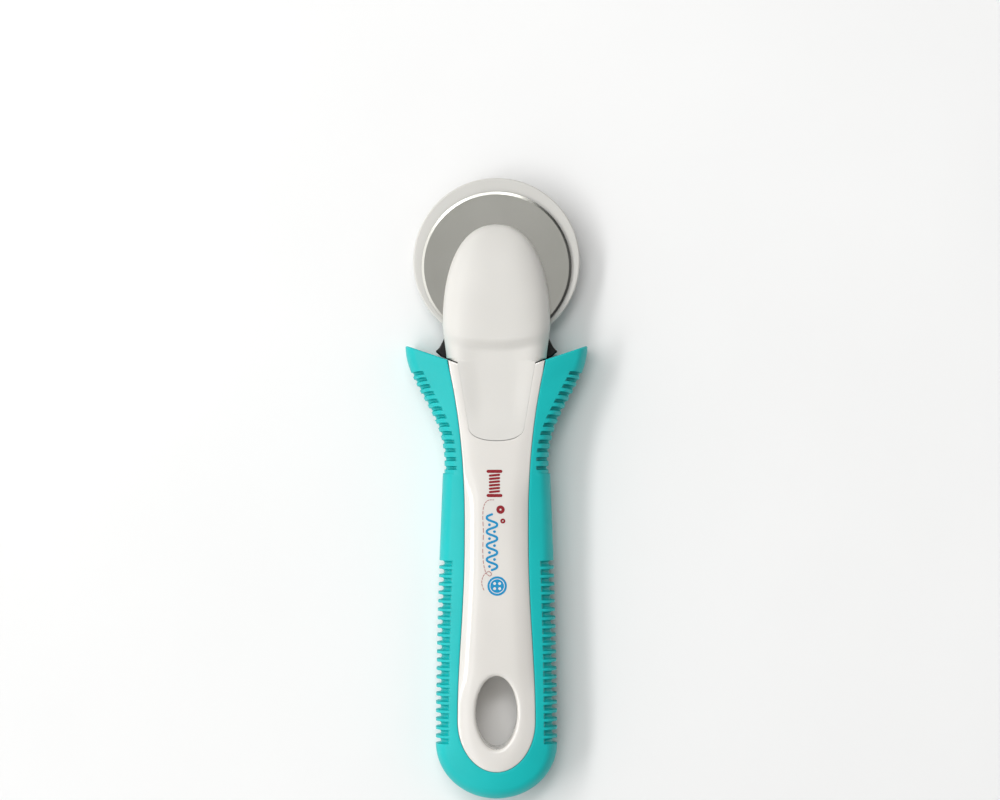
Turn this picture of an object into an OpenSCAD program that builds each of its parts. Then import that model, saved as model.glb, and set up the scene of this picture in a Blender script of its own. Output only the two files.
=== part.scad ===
// Rotary cutter for fabric, lying on its back with the blade towards +Y.
// +Z is up out of the white front face; the origin is under the middle of its box.

/* [Blade and guard] */
// Diameter of the round blade
blade_d = 45; // [43:0.5:46]
// Thickness of the blade
blade_t = 0.3; // [0.2:0.05:0.4]
// Diameter of the hole in the blade
blade_hole_d = 8; // [7.6:0.1:8.4]
// Radius of the guard disc
guard_r = 25; // [24.2:0.1:26]
// How far the guard's centre lies ahead of the blade's
guard_lead = 1.65; // [1:0.05:2]
// How far the guard slides back
guard_travel = 9; // [6:0.5:9]

/* [Handle outline] */
// From the blade's centre to the tail
hub_to_tail = 159.6; // [156:0.2:164]
// Half width over the wings
wing_w = 27.1; // [26:0.1:28]
// Half width at the waist, behind the front ribs
waist_w = 15.1; // [14.8:0.1:15.6]
// Half width just behind the step at the waist
body_w = 16; // [15.7:0.1:16.5]
// Half width at the tail
tail_w = 18.1; // [17:0.1:19]
// Length of the rounded tail
tail_len = 16.6; // [15:0.1:18]
// Thickness of the soft skin over the hard core
skin_t = 2.4; // [2:0.1:2.6]
// Thickness of the shells' walls
wall = 1.8; // [1.4:0.1:2]

/* [White spine] */
// Half width of the spine at the mouth
spine_mouth_w = 14.7; // [14.2:0.1:15]
// Half width of the spine where it is narrowest
spine_min_w = 9.5; // [9.2:0.1:10]
// Half width of the spine beside the hang hole
spine_tail_w = 11.6; // [11:0.1:12]
// Half width of the oval hang hole
hole_a = 6.2; // [5:0.1:6.5]
// Half length of the oval hang hole
hole_b = 11; // [9:0.1:11.5]

/* [Head cover] */
// Half width of the dome
dome_w = 16.1; // [15.5:0.1:16.4]
// Length of the dome from its widest place to its front
dome_len = 30.5; // [29:0.1:32]
// Height of the top of the dome
dome_top = 20; // [19.5:0.1:20.5]

/* [Ribs] */
// Number of ribs on each side of the rear grip
rear_ribs = 22; // [10:1:22]
// Number of ribs on each wing
front_ribs = 13; // [6:1:13]
// Spacing of the rear ribs
rib_pitch = 2.53; // [2.4:0.01:2.55]
// Depth of the grooves between the rear ribs
rib_depth = 1.5; // [0.8:0.1:1.6]
// Depth of the grooves between the wings' ribs
front_rib_depth = 0.8; // [0.4:0.1:1]
// Half width of a groove
groove_half = 0.6; // [0.4:0.05:0.7]

/* [Hub] */
// Diameter of the hub bolt
bolt_d = 5; // [4:0.5:5]
// Diameter of the knurled nut
nut_d = 18; // [16:0.5:20]
// Number of grooves round the knurled nut
nut_grooves = 24; // [12:1:24]

/* [Hidden] */
$fn = 64;
fit = 0.05;             // radial gap of a turning fit
rib_bunching = 0.14;    // how much closer the wings' ribs lie towards the tips
dome_curl = 0.83;       // below 1 the dome's outline is fuller than an oval
eps = 0.01;
hub_y = (hub_to_tail - guard_lead - guard_r) / 2;
tail_y = hub_y - hub_to_tail;
tail_arc_y = tail_y + tail_len;
wing_y = hub_y - 23.9;
mouth_y = hub_y - 28;
mouth_w = 15;
waist_y = hub_y - 60.5;
step_y = waist_y - 2;
spine_min_y = hub_y - 77;
spine_arc_y = hub_y - 136;
spine_end_y = hub_y - 151.2;
hole_y = hub_y - 133.4;
dome_wide_y = hub_y - 18;
tongue_end_y = hub_y - 52.4;

// Heights of the layers, from the back face upwards
grip_z = [0.6, 17.4];
core_z = [2.6, 15.6];
cavity_z = [4.3, 13.6];
part_z = 9.9;
spine_top = 18.4;
pocket_z = 2.4;
back_head_z = 2.6;
arm_z = [4.3, 7];
guard_z = [7.3, 9.2];
blade_z = 9.85;
washer_z = [10.2, 10.7];
clamp_z = 10.75;
rim_z = 10.6;
skirt_z = 9.6;
tongue_z = [15.9, 17.6];
groove_z = [3.5, 14.7];
nut_z = [0.45, 3.4];

bolt_r = bolt_d / 2;
shoulder_r = blade_hole_d / 2 - fit;
flange_r = 5.9;
slot_r = flange_r + 0.4;
stem_w = 7;
stem_end_y = 2;
slider_y = 14;
screw_posts = [[-10.5, 28], [10.5, 28], [-9, -46], [9, -46]];
pin_posts = [[-8.5, -30], [8.5, -30]];
chassis_posts = [[0, -22], [0, -44]];
detent_y = 5;
rivet_ys = [-16.2, -12.8];

// ---- curves of the outline ----

function lerp(a, b, t) = a + (b - a) * t;
function ease(t) = (1 - cos(180 * t)) / 2;
function reversed(list) = [for (i = [len(list) - 1:-1:0]) list[i]];
function mirrored(list) = [for (p = list) [-p[0], p[1]]];

// Half width of the soft grip at y, ahead of the tail's arc
function grip_w(y) = y >= waist_y
    ? waist_w + (wing_w - waist_w) * pow(ease((y - waist_y) / (wing_y - waist_y)), 1.3)
    : body_w + (tail_w - body_w) * sin(90 * (waist_y - y) / (waist_y - tail_arc_y));

// Half width of the white spine at y, ahead of its end arc
function spine_w(y) = y >= spine_min_y
    ? lerp(spine_min_w, spine_mouth_w, pow((y - spine_min_y) / (mouth_y - spine_min_y), 2.2))
    : lerp(spine_min_w, spine_tail_w,
        pow(ease((spine_min_y - y) / (spine_min_y - spine_arc_y)), 1.3));

// Point on the right side of the grip at y, drawn in by d, with the tip drawn down too
function grip_point(y, d) = [grip_w(y) - d, y - d * max(0, (y - waist_y) / (wing_y - waist_y))];

// Right side of the grip from the tail's end to the wing tip, drawn in by d
function grip_side(d) = concat(
    [for (a = [90:-10:0]) [(tail_w - d) * cos(a), tail_arc_y - (tail_len - d) * sin(a)]],
    [for (i = [1:5]) grip_point(lerp(tail_arc_y, step_y, i / 5), d)],
    [for (i = [0:12]) grip_point(lerp(waist_y, wing_y, i / 12), d)]);

function grip_ring(d) = concat(
    grip_side(d),
    [[mouth_w, mouth_y - d], [-mouth_w, mouth_y - d]],
    [for (p = reversed(mirrored(grip_side(d)))) if (p[0] < -eps) p]);

// Right side of a spine widened by d, up to y1
function spine_side(d, y1) = concat(
    [for (a = [90:-10:0])
        [(spine_tail_w + d) * cos(a), spine_arc_y - (spine_arc_y - spine_end_y + d) * sin(a)]],
    [for (i = [1:18]) let (y = lerp(spine_arc_y, y1, i / 18)) [spine_w(y) + d, y]]);

function spine_ring(d, y1) = concat(
    spine_side(d, y1),
    [for (p = reversed(mirrored(spine_side(d, y1)))) if (p[0] < -eps) p]);

function oval(a, b, cy) = [for (t = [0:7.5:352.5]) [a * cos(t), cy + b * sin(t)]];

// Front of the dome, a superellipse drawn in by d, then its sides back to the neck
function dome_half(d) = concat(
    [for (t = [90:-7.5:0])
        [(dome_w - d) * pow(cos(t), dome_curl),
            dome_wide_y + (dome_len - d) * pow(sin(t), dome_curl)]],
    [[dome_w - d - 0.4, mouth_y + 4 + d / 2]]);

function dome_ring(d) = concat(
    reversed(dome_half(d)),
    [for (p = mirrored(dome_half(d))) if (p[0] < -eps) p]);

// ---- shared shapes ----

// Solid between equal rings, one for each height
module loft(rings, heights) {
    n = len(rings[0]);
    last = len(rings) - 1;
    points = [for (k = [0:last]) for (p = rings[k]) [p[0], p[1], heights[k]]];
    sides = [for (k = [0:last - 1]) for (i = [0:n - 1])
        let (j = (i + 1) % n, a = k * n + i, b = k * n + j)
        for (f = [[a, a + n, b + n], [a, b + n, b]]) f];
    polyhedron(points, concat([[for (i = [0:n - 1]) i]], sides,
        [[for (i = [n - 1:-1:0]) last * n + i]]));
}

module slab(points, z0, z1) {
    translate([0, 0, z0]) linear_extrude(z1 - z0) polygon(points);
}

module post(x, y, z0, z1, r) {
    translate([x, y, z0]) cylinder(h = z1 - z0, r = r);
}

module box(x0, x1, y0, y1, z0, z1) {
    translate([x0, y0, z0]) cube([x1 - x0, y1 - y0, z1 - z0]);
}

// Straight slot along Y with round ends
module slot(r, y0, y1, z0, z1) {
    post(0, y0, z0, z1, r);
    post(0, y1, z0, z1, r);
    box(-r, r, y0, y1, z0, z1);
}

// Outline of the hard core, cut off square a little inside the mouth
module core_slab(d, y1, z0, z1) {
    intersection() {
        slab(grip_ring(d), z0, z1);
        box(-40, 40, tail_y, y1, z0, z1);
    }
}

// Plain shank from under its head to its tip; the head is above it when up is true
module screw(x, y, z_head, z_tip, r, head_r, head_h, up) {
    post(x, y, min(z_head, z_tip), max(z_head, z_tip), r);
    post(x, y, up ? z_head : z_head - head_h, up ? z_head + head_h : z_head, head_r);
}

// ---- handle ----

module back_shell() {
    color([0.86, 0.85, 0.83])
    difference() {
        union() {
            core_slab(skin_t, mouth_y - 1.5, core_z[0], part_z);
            slab(spine_ring(1, mouth_y - 1.5), 0, core_z[0] + 1);
        }
        difference() {
            core_slab(skin_t + wall, mouth_y - 3.3, cavity_z[0], part_z + 1);
            slab(oval(hole_a + wall, hole_b + wall, hole_y), 0, part_z);
            for (p = screw_posts) post(p[0], p[1], 0, part_z, 2.8);
        }
        box(-mouth_w + 0.2, mouth_w - 0.2, mouth_y - 6, mouth_y, cavity_z[0], part_z + 1);
        slab(oval(hole_a, hole_b, hole_y), -1, part_z + 1);
        box(-7, 7, slider_y - 9 - guard_travel, slider_y + 9, -1, pocket_z);
        slot(2.7, slider_y - 1 - guard_travel - 0.4, slider_y + 1 + 0.4, pocket_z - 1, cavity_z[0] + 1);
        for (p = screw_posts) {
            post(p[0], p[1], -1, back_head_z, 2.7);
            post(p[0], p[1], 0, part_z + 1, 1.4);
        }
        for (p = chassis_posts) post(p[0], p[1], 1.2, cavity_z[0] + 1, 1.25);
        for (p = pin_posts) post(p[0], p[1], 2.6, cavity_z[0] + 1, 1.05);
    }
}

module front_shell() {
    color([0.88, 0.87, 0.85])
    difference() {
        union() {
            core_slab(skin_t, mouth_y - 1.5, part_z, core_z[1]);
            slab(spine_ring(0, mouth_y - 0.9), core_z[1] - 1, spine_top);
        }
        difference() {
            core_slab(skin_t + wall, mouth_y - 3.3, part_z - 1, cavity_z[1]);
            slab(oval(hole_a + wall, hole_b + wall, hole_y), part_z, cavity_z[1]);
            for (p = screw_posts) post(p[0], p[1], part_z, cavity_z[1], 2.8);
            for (p = pin_posts) post(p[0], p[1], part_z, cavity_z[1], 2.2);
        }
        box(-mouth_w + 0.2, mouth_w - 0.2, mouth_y - 6, mouth_y, part_z - 1, cavity_z[1]);
        slab(oval(hole_a, hole_b, hole_y), part_z - 1, spine_top + 1);
        slab(tongue_ring(0.1), tongue_z[0] - 0.1, spine_top + 1);
        post(0, tongue_end_y + 5, cavity_z[1] - 1, tongue_z[0], 1.6);
        for (p = screw_posts) post(p[0], p[1], part_z - 1, cavity_z[1] + 1, 1.1);
        for (p = pin_posts) post(p[0], p[1], part_z - 1, 12.6, 1.05);
    }
}

// Grooves between the ribs of the right side, cut into its upright wall
module rib_grooves() {
    for (i = [0:rear_ribs - 1]) {
        y = hub_y - 89 - i * rib_pitch;
        box(grip_w(y) - rib_depth, grip_w(y) + 2, y - groove_half, y + groove_half,
            groove_z[0], groove_z[1]);
    }
    for (i = [0:front_ribs - 1]) {
        t = i / max(1, front_ribs - 1);
        y = lerp(hub_y - 59.4, hub_y - 32.4, t * (1 + rib_bunching * (1 - t)));
        translate([grip_w(y), y, 0])
            rotate([0, 0, -atan(grip_w(y + 0.5) - grip_w(y - 0.5))])
                box(-front_rib_depth, 2, -groove_half, groove_half, groove_z[0], groove_z[1]);
    }
}

module soft_grip() {
    color([0.1, 0.75, 0.76])
    difference() {
        intersection() {
            loft([for (d = [4.3, 0.9, 0, 0, 0.9, 4.3]) grip_ring(d)],
                [grip_z[0] - 1, 1.6, 3.4, 14.8, 16.4, grip_z[1] + 1]);
            box(-40, 40, tail_y - 1, wing_y + 1, grip_z[0], grip_z[1]);
        }
        core_slab(skin_t, mouth_y - 1.5, core_z[0], core_z[1]);
        slab(spine_ring(0, mouth_y + 6), core_z[1] - 1, 21);
        slab(spine_ring(1, mouth_y + 6), -1, core_z[0] + 1);
        box(-mouth_w + 0.2, mouth_w - 0.2, mouth_y - 3, mouth_y + 6, -1, 21);
        rib_grooves();
        mirror([1, 0, 0]) rib_grooves();
    }
}

// ---- chassis ----

chassis_half = [[6, -53], [10, -50], [10, 20], [14.6, 28], [14.6, mouth_y + 0.2],
    [17.6, mouth_y + 1.3], [18.2, mouth_y + 2.6], [17.8, mouth_y + 4.2], [16, mouth_y + 5.8],
    [13.6, hub_y - 12], [12.7, hub_y - 3]];

module chassis() {
    outline = concat(chassis_half, reversed(mirrored(chassis_half)));
    color([0.1, 0.1, 0.1])
    difference() {
        union() {
            slab(outline, arm_z[0], arm_z[1]);
            post(0, hub_y, arm_z[0], arm_z[1], 13);
        }
        post(0, hub_y, arm_z[0] - 1, arm_z[1] + 1, 4.45);
        slot(3.1, slider_y - 1 - guard_travel - 0.4, slider_y + 1 + 0.4, arm_z[0] - 1, arm_z[1] + 1);
        for (p = screw_posts) post(p[0], p[1], arm_z[0] - 1, arm_z[1] + 1, 3);
        for (p = chassis_posts) post(p[0], p[1], arm_z[0] - 1, arm_z[1] + 1, 1.4);
        for (p = pin_posts) post(p[0], p[1], arm_z[0] - 1, arm_z[1] + 1, 1.05);
        for (y = rivet_ys) post(6.3, y, arm_z[0] - 1, arm_z[1] + 1, 0.95);
    }
}

module chassis_screws() {
    color("silver")
    for (p = chassis_posts) screw(p[0], p[1], arm_z[1], 1.6, 1.2, 2.5, 1.5, true);
}

module locating_pins() {
    color("silver")
    for (p = pin_posts) post(p[0], p[1], 2.8, 12.4, 1);
}

module casing_screws() {
    color("silver")
    for (p = screw_posts) difference() {
        screw(p[0], p[1], back_head_z, 13, 1.05, 2.5, 1.7, false);
        box(p[0] - 1.8, p[0] + 1.8, p[1] - 0.3, p[1] + 0.3, 0, 1.6);
        box(p[0] - 0.3, p[0] + 0.3, p[1] - 1.8, p[1] + 1.8, 0, 1.6);
    }
}

// ---- head cover ----

// Tongue behind the dome: sides close in on a rounded end, widened by d
function tongue_ring(d) = concat(
    [for (a = [-90:15:0]) [(8.4 + d) * cos(a), tongue_end_y + 4.4 + (4.4 + d) * sin(a)]],
    [[11.6 + d, mouth_y - 1], [11.6 + d, mouth_y + 6], [-11.6 - d, mouth_y + 6],
        [-11.6 - d, mouth_y - 1]],
    [for (a = [180:15:255]) [(8.4 + d) * cos(a), tongue_end_y + 4.4 + (4.4 + d) * sin(a)]]);

neck_ring = [[11.4, mouth_y - 0.7], [14.7, mouth_y + 0.2], [15.3, mouth_y + 8],
    [-15.3, mouth_y + 8], [-14.7, mouth_y + 0.2], [-11.4, mouth_y - 0.7]];

// Side wall of the neck, which comes down beside the guard
skirt_ring = [[13, mouth_y + 0.6], [14.7, mouth_y + 0.6], [15.1, mouth_y + 5], [13, mouth_y + 5]];

module head_cover() {
    color([0.88, 0.88, 0.86])
    difference() {
        union() {
            loft([for (d = [0, 0, 0.8, 2.2, 4.6, 8.5]) dome_ring(d)],
                [rim_z, 13.5, 16, 18, 19.4, dome_top]);
            slab(neck_ring, 14.2, tongue_z[1]);
            slab(tongue_ring(0), tongue_z[0], tongue_z[1]);
            post(0, tongue_end_y + 5, 14, tongue_z[0] + 0.5, 1.5);
        }
        difference() {
            loft([for (d = [1.8, 1.8, 2.6, 4, 7]) dome_ring(d)],
                [rim_z - 1, 12.5, 15, 16.6, 17.8]);
            post(0, hub_y, clamp_z, 18.5, 7);
            box(-20, 20, mouth_y, mouth_y + 6.5, rim_z, 18);
        }
        post(0, hub_y, clamp_z - 1, 14, bolt_r + fit);
        translate([0, hub_y, 13.95]) cylinder(h = 2.6, r = 4.65, $fn = 6);
        box(-20, 20, mouth_y - 2, mouth_y + 6, rim_z - 1, 13.9);
    }
    color([0.88, 0.88, 0.86])
    for (side = [-1, 1]) slab([for (p = skirt_ring) [side * p[0], p[1]]], skirt_z, 14.4);
}

// ---- hub and blade ----

module hub_bolt() {
    color("silver") union() {
        post(0, hub_y, 0.9, 14.5, bolt_r);
        translate([0, hub_y, 14]) cylinder(h = 2.5, r = 4.6, $fn = 6);
    }
}

module hub_bushing() {
    color("silver") difference() {
        union() {
            post(0, hub_y, arm_z[0] + 0.1, arm_z[1] + 0.5, 4.4);
            post(0, hub_y, arm_z[1], blade_z - fit, flange_r);
            post(0, hub_y, blade_z - 0.5, clamp_z, shoulder_r);
        }
        post(0, hub_y, 0, 12, bolt_r + fit);
    }
}

module blade_washer() {
    color([0.9, 0.9, 0.88]) difference() {
        post(0, hub_y, washer_z[0], washer_z[1], 6.8);
        post(0, hub_y, 0, 12, shoulder_r + fit);
    }
}

// Disc whose rim thins to an edge from both faces
module blade() {
    r = blade_d / 2;
    bevel = 0.9;
    color([0.62, 0.62, 0.6]) translate([0, hub_y, blade_z]) rotate_extrude()
        polygon([[blade_hole_d / 2, 0], [r - bevel, 0], [r, blade_t / 2 - 0.02],
            [r, blade_t / 2 + 0.02], [r - bevel, blade_t], [blade_hole_d / 2, blade_t]]);
}

module wave_washer() {
    color("silver") translate([0, hub_y, 0]) rotate_extrude()
        polygon([[2.8, 3.85], [6, 3.5], [6, 3.9], [2.8, 4.25]]);
}

module hub_nut() {
    color([0.12, 0.12, 0.12]) difference() {
        post(0, hub_y, nut_z[0], nut_z[1], nut_d / 2);
        for (i = [0:nut_grooves - 1])
            translate([0, hub_y, 0]) rotate([0, 0, i * 360 / nut_grooves])
                post(nut_d / 2 + 0.2, 0, 0, 4, 0.75);
        post(0, hub_y, 0, 4, bolt_r + 0.3);
        translate([0, hub_y, 1.3]) cylinder(h = 3, r = 4.65, $fn = 6);
    }
}

module nut_insert() {
    color("silver") difference() {
        translate([0, hub_y, 1.35]) cylinder(h = 2, r = 4.6, $fn = 6);
        post(0, hub_y, 0, 4, bolt_r + fit);
    }
}

// ---- guard ----

guard_y = hub_y + guard_lead;

module guard() {
    color([0.88, 0.88, 0.86]) difference() {
        union() {
            post(0, guard_y, guard_z[0], guard_z[1], guard_r);
            box(-stem_w, stem_w, stem_end_y, guard_y, guard_z[0], guard_z[1]);
        }
        slot(slot_r, hub_y, hub_y + guard_travel, guard_z[0] - 1, guard_z[1] + 1);
        post(0, slider_y, guard_z[0] - 1, guard_z[1] + 1, 1.3);
        for (y = [detent_y, detent_y + guard_travel])
            post(stem_w + 0.4, y, guard_z[0] - 1, guard_z[1] + 1, 1);
    }
}

module guard_slider() {
    color([0.12, 0.12, 0.12]) difference() {
        union() {
            box(-6, 6, slider_y - 8, slider_y + 8, 0.9, pocket_z - 0.3);
            for (i = [-3:3]) box(-6, 6, slider_y + i * 2.3 - 0.5, slider_y + i * 2.3 + 0.5, 0.35, 1);
            slot(2.3, slider_y - 1, slider_y + 1, 1, guard_z[0]);
        }
        post(0, slider_y, 3, guard_z[0] + 1, 1.25);
    }
}

module slider_screw() {
    color("silver") screw(0, slider_y, guard_z[1], 3.4, 1.2, 2.4, 1.3, true);
}

// Leaf along the guard's stem with a rounded bump that drops into its notches
module detent_spring() {
    color("silver") difference() {
        union() {
            box(4.2, 9.4, -18, -11, arm_z[1], arm_z[1] + 0.4);
            box(9, 9.4, -18, detent_y + 8, arm_z[1], 9);
            intersection() {
                post(9, detent_y, arm_z[1] + 0.5, 9, 1.6);
                box(6, 9.2, detent_y - 4, detent_y + 4, arm_z[1], 10);
            }
        }
        for (y = rivet_ys) post(6.3, y, arm_z[1] - 1, arm_z[1] + 1, 0.95);
    }
}

module spring_rivets() {
    color("silver")
    for (y = rivet_ys) screw(6.3, y, arm_z[1] + 0.4, arm_z[0], 0.9, 1.5, 0.6, true);
}

back_shell();
front_shell();
soft_grip();
chassis();
chassis_screws();
locating_pins();
casing_screws();
head_cover();
hub_bolt();
hub_bushing();
blade_washer();
blade();
wave_washer();
hub_nut();
nut_insert();
guard();
guard_slider();
slider_screw();
detent_spring();
spring_rivets();
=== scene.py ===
from math import atan2, cos, hypot, pi, radians, sin

import bmesh
import bpy
import numpy as np
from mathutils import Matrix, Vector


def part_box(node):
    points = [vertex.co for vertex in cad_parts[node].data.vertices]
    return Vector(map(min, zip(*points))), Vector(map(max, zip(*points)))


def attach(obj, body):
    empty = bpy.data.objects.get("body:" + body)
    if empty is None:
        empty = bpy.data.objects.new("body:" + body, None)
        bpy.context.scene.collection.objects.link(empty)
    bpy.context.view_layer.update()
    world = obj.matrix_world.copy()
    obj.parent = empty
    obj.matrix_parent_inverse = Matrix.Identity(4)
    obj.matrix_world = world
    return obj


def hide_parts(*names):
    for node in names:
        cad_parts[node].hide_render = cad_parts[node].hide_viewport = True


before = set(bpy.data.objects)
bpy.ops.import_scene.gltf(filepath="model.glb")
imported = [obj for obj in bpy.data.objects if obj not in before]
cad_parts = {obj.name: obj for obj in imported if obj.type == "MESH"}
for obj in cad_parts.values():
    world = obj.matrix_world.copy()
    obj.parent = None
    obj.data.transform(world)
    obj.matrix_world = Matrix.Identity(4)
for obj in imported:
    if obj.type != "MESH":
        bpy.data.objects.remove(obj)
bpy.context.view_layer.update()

MM = 0.001


# ---------------------------------------------------------------- sizes, in millimetres

def box_mm(node):
    """Lowest and highest corner of a CAD node."""
    low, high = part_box(node)
    return np.array(low) / MM, np.array(high) / MM


blade_low, blade_high = box_mm("blade")
grip_low, grip_high = box_mm("soft_grip")
guard_low, guard_high = box_mm("guard")
cover_low, cover_high = box_mm("head_cover")

HUB_Y = (blade_low[1] + blade_high[1]) / 2
BLADE_R = (blade_high[0] - blade_low[0]) / 2
BLADE_Z = (blade_low[2], blade_high[2])

# Names below: _Y is a place along the cutter, _W half a width across it, _Z a height above
# the floor, _LEN a length and _R a radius.

# Soft grip
WING_Y, WING_W = grip_high[1] + 0.2, grip_high[0] + 0.15
TAIL_Y = grip_low[1]
MOUTH_Y, MOUTH_W = HUB_Y - 28, 15
WAIST_Y, WAIST_W = HUB_Y - 60.5, 15.5
STEP_Y, BODY_W = HUB_Y - 62, 16
TAIL_LEN, TAIL_W = 16.6, 18.1
TAIL_ARC_Y = TAIL_Y + TAIL_LEN
CORE_END_Y = MOUTH_Y - 1.5
SKIN = 2.4              # thickness of the elastomer
SEAM = 0.07             # gap between the grip and the spine

# White spine
SPINE_MIN_Y, SPINE_MIN_W = HUB_Y - 77, 9.5
SPINE_ARC_Y, SPINE_TAIL_W = HUB_Y - 136, 11.6
SPINE_END_Y = HUB_Y - 151.2
SPINE_MOUTH_W = 14.7
SPINE_FRONT_Y = MOUTH_Y - 1.05
SPINE_Z = 18.7
# (distance in from the spine's edge, slope of its face there)
SPINE_SLOPES = ((0, 0.8), (0.8, 0.62), (1.5, 0.46), (2.2, 0.39), (2.9, 0.34), (3.5, 0.2),
                (4.5, 0.1), (6.2, 0.04), (7.6, 0))
MOUTH_FLATTER = 0.62    # how much flatter the crown is near the mouth
TAIL_FLATTER = 0.5      # and beside the hang hole
TAIL_DROP = 1.3         # how much lower the middle line lies at the tail
DISH = 0.8              # depth of the thumb dish
HOLE_A, HOLE_B, HOLE_Y = 6.2, 11, HUB_Y - 133.4

# Head cover, from the dome over the hub through the neck to the tongue in the spine
DOME_W, DOME_Y = cover_high[0], HUB_Y - 18
DOME_LEN = 30.5
DOME_CURL = 2.3         # power of the dome's outline: 2 is an ellipse, more is squarer
DOME_TOP = cover_high[2] - 0.15
DOME_LOW = 11.8         # height of the dome's lower edge
NECK_Y0, NECK_Y1, NECK_W = MOUTH_Y - 0.7, MOUTH_Y + 0.5, 14.95
TONGUE_W, TONGUE_TIP_W = 11.6, 8.4
TONGUE_END_Y = cover_low[1] + 0.35
TONGUE_TIP_LEN = 4.4    # length of its round end
TONGUE_GAP = 0.16       # gap between its tip and the recess
TONGUE_SIDE_GAP = 0.01  # and between its sides and the recess, on each of them

# Shells
SPLIT_Z = 9.9           # where the front shell meets the back shell
PAD_Z, FLOOR_Z = 2.5, 4.3   # top of the back's pad and of the floor inside it

# Grooves between the ribs
REAR_RIBS, REAR_PITCH, REAR_FIRST_Y = 22, 2.53, HUB_Y - 88.9
FRONT_RIBS, FRONT_FIRST_Y, FRONT_LAST_Y = 13, HUB_Y - 60.3, HUB_Y - 32.5
REAR_HALF, FRONT_HALF = REAR_PITCH * 0.35, 0.6
RIB_BUNCHING = 0.14     # how much closer the wings' grooves lie towards the tips


# ---------------------------------------------------------------- curves of the outline

def mix(a, b, t):
    """The value at share t of the way from a to b."""
    return a + (b - a) * t


def clamp(t):
    """t kept within 0..1."""
    return min(1.0, max(0.0, t))


def smooth(t):
    """0..1 with a soft start and end."""
    t = clamp(t)
    return t * t * (3 - 2 * t)


def ease(t):
    """0..1 along half a cosine wave."""
    return (1 - cos(pi * clamp(t))) / 2


def grip_w(y):
    """Half width of the soft grip ahead of the tail's arc."""
    if y >= WAIST_Y:
        return WAIST_W + (WING_W - WAIST_W) * ease((y - WAIST_Y) / (WING_Y - WAIST_Y)) ** 1.3
    if y > STEP_Y:
        return WAIST_W
    return BODY_W + (TAIL_W - BODY_W) * sin(pi / 2 * (STEP_Y - y) / (STEP_Y - TAIL_ARC_Y))


def spine_w(y):
    """Half width of the white spine."""
    if y >= SPINE_MIN_Y:
        t = (y - SPINE_MIN_Y) / (MOUTH_Y - SPINE_MIN_Y)
        return mix(SPINE_MIN_W, SPINE_MOUTH_W, t ** 2.2)
    if y >= SPINE_ARC_Y:
        t = (SPINE_MIN_Y - y) / (SPINE_MIN_Y - SPINE_ARC_Y)
        return mix(SPINE_MIN_W, SPINE_TAIL_W, ease(t) ** 1.3)
    t = (SPINE_ARC_Y - y) / (SPINE_ARC_Y - SPINE_END_Y)
    return SPINE_TAIL_W * max(0.0, 1 - t * t) ** 0.5


def oval_gap(x, y, a, b):
    """Distance outside an oval at the origin, near its edge."""
    f = hypot(x / a, y / b)
    return f * (f - 1) / max(1e-9, hypot(x / a / a, y / b / b))


def round_off(d, r):
    """How far a rounded edge of radius r has dropped at distance d from the edge."""
    d = min(r, max(0.0, d))
    return r - (r * r - (r - d) ** 2) ** 0.5


def spine_edge_gap(x, y):
    """Distance inward from the edge of the spine."""
    if y >= SPINE_ARC_Y:
        slope = (spine_w(y + 0.2) - spine_w(y - 0.2)) / 0.4
        return (spine_w(y) - abs(x)) / hypot(1, slope)
    return -oval_gap(x, y - SPINE_ARC_Y, SPINE_TAIL_W, SPINE_ARC_Y - SPINE_END_Y)


# How far the spine's face drops towards its edge, from its slopes smoothed a little
crown_gaps = np.linspace(0, SPINE_SLOPES[-1][0], 161)
crown_slopes = np.interp(crown_gaps, *zip(*SPINE_SLOPES))
crown_slopes = np.convolve(np.pad(crown_slopes, 8, "edge"), np.ones(17) / 17, "valid")
crown_drops = np.cumsum(crown_slopes[::-1])[::-1] * (crown_gaps[1] - crown_gaps[0])
crown_drops -= crown_drops[-1]


def crown(gap, y):
    """How far the spine's face lies below its middle at a distance from its edge."""
    flatter = 1 - MOUTH_FLATTER * smooth((y + 5) / 12) - TAIL_FLATTER * smooth((-53 - y) / 12)
    return float(np.interp(gap, crown_gaps, crown_drops)) * flatter


def spine_mid_z(y):
    """Height of the spine's middle line."""
    return SPINE_Z - TAIL_DROP * smooth((-35 - y) / 50)


def tongue_w(y, gap_end, gap_side):
    """Half width of the tongue at y, widened by a gap round its end and along its sides."""
    along = (y - TONGUE_END_Y - TONGUE_TIP_LEN) / (NECK_Y0 - TONGUE_END_Y - TONGUE_TIP_LEN)
    side = mix(TONGUE_TIP_W, TONGUE_W, clamp(along)) + gap_side
    start = TONGUE_END_Y - gap_end
    t = clamp(1 - (y - start) / (TONGUE_TIP_LEN + gap_end))
    return side * max(0.0, 1 - t ** 2.3) ** (1 / 2.3)


def seam_z(y):
    """Height of the grip where it meets the spine."""
    return spine_mid_z(y) - crown(0, y)


def spine_z(x, y):
    """Height of the spine's face, with its crown and thumb dish."""
    gap = spine_edge_gap(x, y)
    across = 1 - smooth((abs(x) / spine_w(max(y, SPINE_MIN_Y)) - 0.35) / 0.6)
    dish = DISH * smooth((y - TONGUE_END_Y + 1) / 15) * across
    return spine_mid_z(y) - crown(gap, y) - dish


def tongue_edge_r(y):
    """Rounding of the edges along the slit between the tongue and the spine."""
    return 0.12 if y < TONGUE_END_Y + 3 else 0.03


# ---------------------------------------------------------------- mesh helpers

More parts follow.
